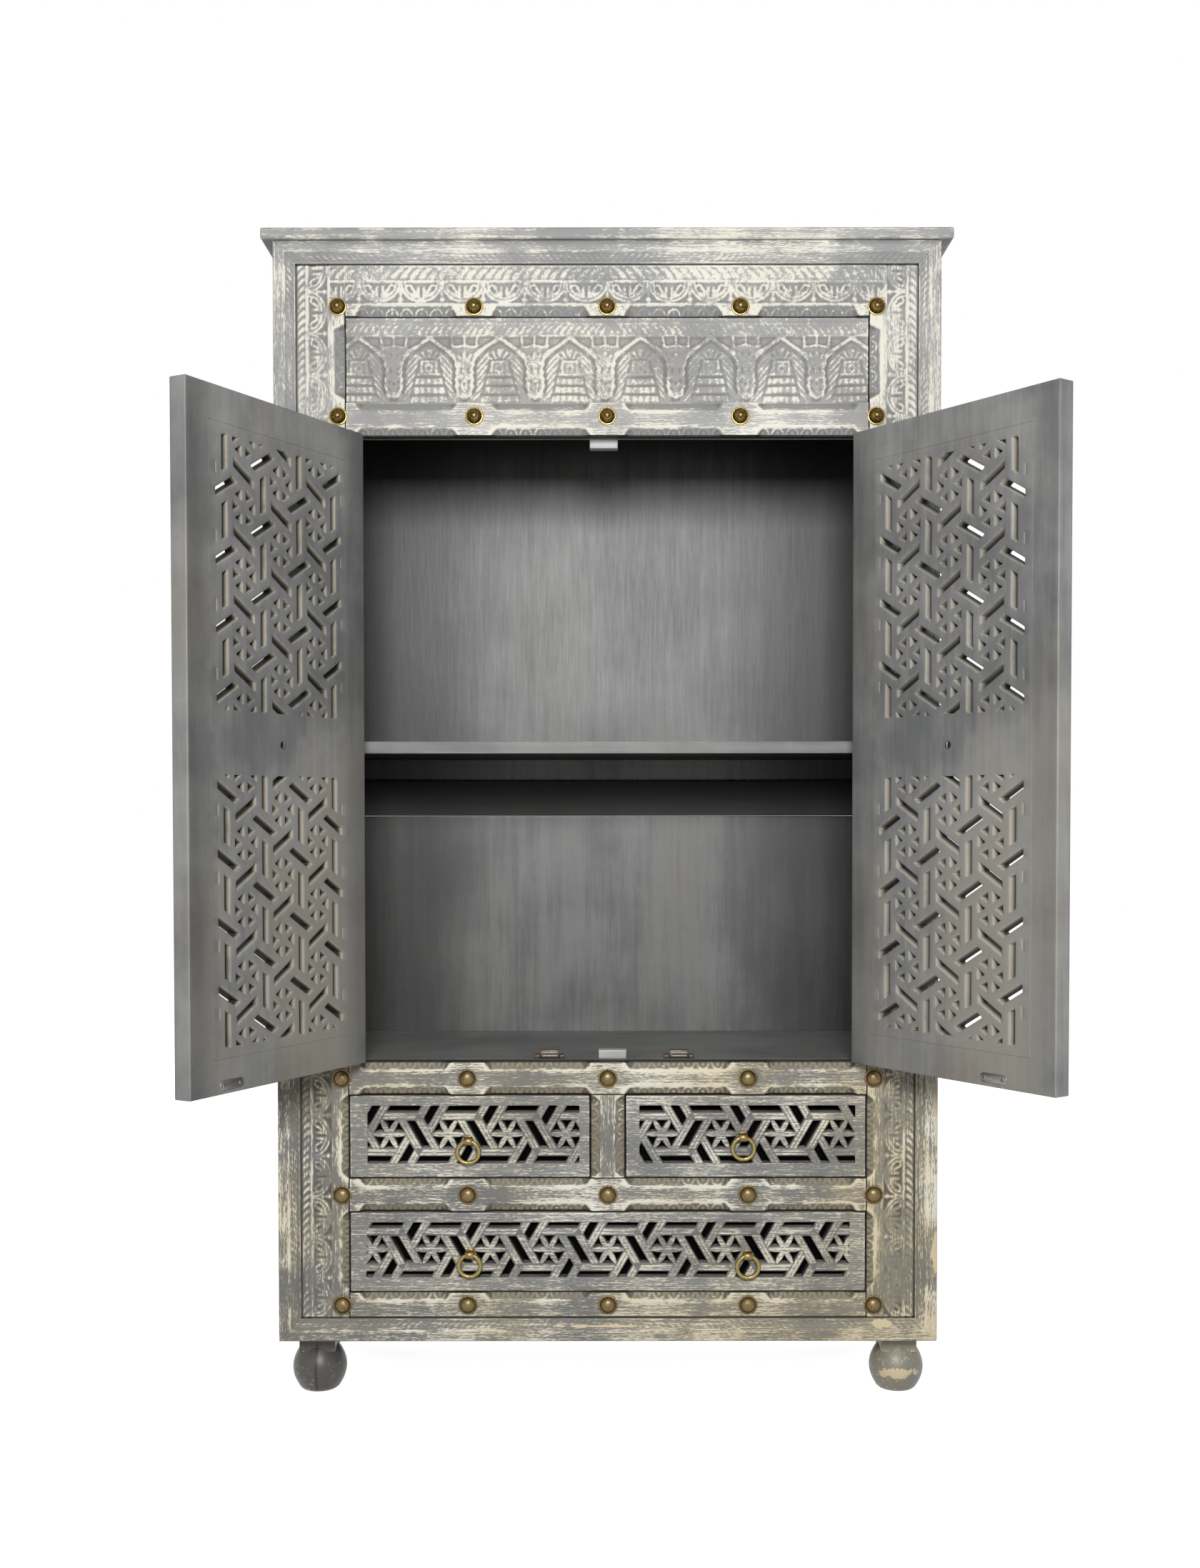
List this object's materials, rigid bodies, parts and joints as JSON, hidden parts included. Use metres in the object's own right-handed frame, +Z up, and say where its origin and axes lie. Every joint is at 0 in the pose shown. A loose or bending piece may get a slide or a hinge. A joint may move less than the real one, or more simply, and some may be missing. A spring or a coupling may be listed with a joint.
{
  "type": "gentlemans chest",
  "caption": "Tall carved grey-painted chest with pierced lattice doors standing open on a shelved cupboard, lattice drawers with ring pulls below, and bun feet.",
  "frame": {"origin": "on the floor, under the middle of the case", "axes": "+Z up, -Y out of the front, +X to the right of someone facing the front"},
  "size_m": [1.2148, 0.7683, 1.821],
  "materials": {
    "grey_wood": "satin",
    "inner_wood": "satin",
    "raw_wood": "matte",
    "aged_brass": "satin",
    "dark_metal": "satin"
  },
  "bodies": {
    "case": {"back_panel_lower": "inner_wood", "back_panel_upper": "inner_wood", "back_rail": "inner_wood", "base_panel": "raw_wood", "catch_left": "dark_metal", "catch_right": "dark_metal", "cornice_slab": "grey_wood", "cupboard_floor": "inner_wood", "door_left_hinge_lower_case_leaf": "dark_metal", "door_left_hinge_upper_case_leaf": "dark_metal", "door_right_hinge_lower_case_leaf": "dark_metal", "door_right_hinge_upper_case_leaf": "dark_metal", "door_stop_floor": "inner_wood", "door_stop_top": "inner_wood", "drawer_divider": "grey_wood", "drawer_rail_bottom": "grey_wood", "drawer_rail_middle": "grey_wood", "drawer_rail_top": "grey_wood", "dust_board": "raw_wood", "face_stile_left": "grey_wood", "face_stile_right": "grey_wood", "foot_back_left": "grey_wood", "foot_back_right": "grey_wood", "foot_front_left": "grey_wood", "foot_front_right": "grey_wood", "frame_moulding_bottom": "grey_wood", "frame_moulding_left": "grey_wood", "frame_moulding_right": "grey_wood", "frame_moulding_top": "grey_wood", "frieze_board": "grey_wood", "shelf": "inner_wood", "side_panel_left": "grey_wood", "side_panel_right": "grey_wood"},
    "door_left": {"door_left_frame": "inner_wood", "door_left_hinge_lower_door_leaf": "dark_metal", "door_left_hinge_upper_door_leaf": "dark_metal", "door_left_panel": "inner_wood", "door_left_pull_mount": "aged_brass"},
    "door_right": {"door_right_frame": "inner_wood", "door_right_hinge_lower_door_leaf": "dark_metal", "door_right_hinge_upper_door_leaf": "dark_metal", "door_right_panel": "inner_wood", "door_right_pull_mount": "aged_brass"},
    "drawer_left": {"drawer_left_front": "grey_wood", "drawer_left_pull_mount": "aged_brass", "drawer_left_tray": "grey_wood"},
    "drawer_right": {"drawer_right_front": "grey_wood", "drawer_right_pull_mount": "aged_brass", "drawer_right_tray": "grey_wood"},
    "drawer_large": {"drawer_large_front": "grey_wood", "drawer_large_pull_left_mount": "aged_brass", "drawer_large_pull_right_mount": "aged_brass", "drawer_large_tray": "grey_wood"},
    "door_left_ring": {"door_left_pull_ring": "aged_brass"},
    "door_right_ring": {"door_right_pull_ring": "aged_brass"},
    "drawer_left_ring": {"drawer_left_pull_ring": "aged_brass"},
    "drawer_right_ring": {"drawer_right_pull_ring": "aged_brass"},
    "drawer_large_ring_left": {"drawer_large_pull_left_ring": "aged_brass"},
    "drawer_large_ring_right": {"drawer_large_pull_right_ring": "aged_brass"}
  },
  "joints": [
    {"name": "door_left_hinge", "type": "hinge", "parent": "case", "child": "door_left", "pos_m": [-0.4034, -0.2012, 1.0195], "axis": [0, 0, 1], "range_deg": [-42.4, 117.6]},
    {"name": "door_right_hinge", "type": "hinge", "parent": "case", "child": "door_right", "pos_m": [0.4034, -0.2012, 1.0195], "axis": [0, 0, 1], "range_deg": [-125.1, 34.9]},
    {"name": "drawer_left_slide", "type": "slide", "parent": "case", "child": "drawer_left", "axis": [0, -1, 0], "range_m": [0, 0.25]},
    {"name": "drawer_right_slide", "type": "slide", "parent": "case", "child": "drawer_right", "axis": [0, -1, 0], "range_m": [0, 0.25]},
    {"name": "drawer_large_slide", "type": "slide", "parent": "case", "child": "drawer_large", "axis": [0, -1, 0], "range_m": [0, 0.25]},
    {"name": "door_left_ring_swing", "type": "hinge", "parent": "door_left", "child": "door_left_ring", "pos_m": [-0.49791, -0.37917, 1.0195], "axis": [0.4633, 0.8862, 0], "range_deg": [0, 110]},
    {"name": "door_right_ring_swing", "type": "hinge", "parent": "door_right", "child": "door_right_ring", "pos_m": [0.52033, -0.36531, 1.0195], "axis": [0.575, -0.8181, 0], "range_deg": [0, 110]},
    {"name": "drawer_left_ring_swing", "type": "hinge", "parent": "drawer_left", "child": "drawer_left_ring", "pos_m": [-0.21825, -0.2065, 0.4095], "axis": [-1, 0, 0], "range_deg": [0, 110]},
    {"name": "drawer_right_ring_swing", "type": "hinge", "parent": "drawer_right", "child": "drawer_right_ring", "pos_m": [0.21175, -0.2065, 0.415], "axis": [-1, 0, 0], "range_deg": [0, 110]},
    {"name": "drawer_large_ring_left_swing", "type": "hinge", "parent": "drawer_large", "child": "drawer_large_ring_left", "pos_m": [-0.2165, -0.2065, 0.2308], "axis": [-1, 0, 0], "range_deg": [0, 110]},
    {"name": "drawer_large_ring_right_swing", "type": "hinge", "parent": "drawer_large", "child": "drawer_large_ring_right", "pos_m": [0.219, -0.2065, 0.2287], "axis": [-1, 0, 0], "range_deg": [0, 110]}
  ]
}
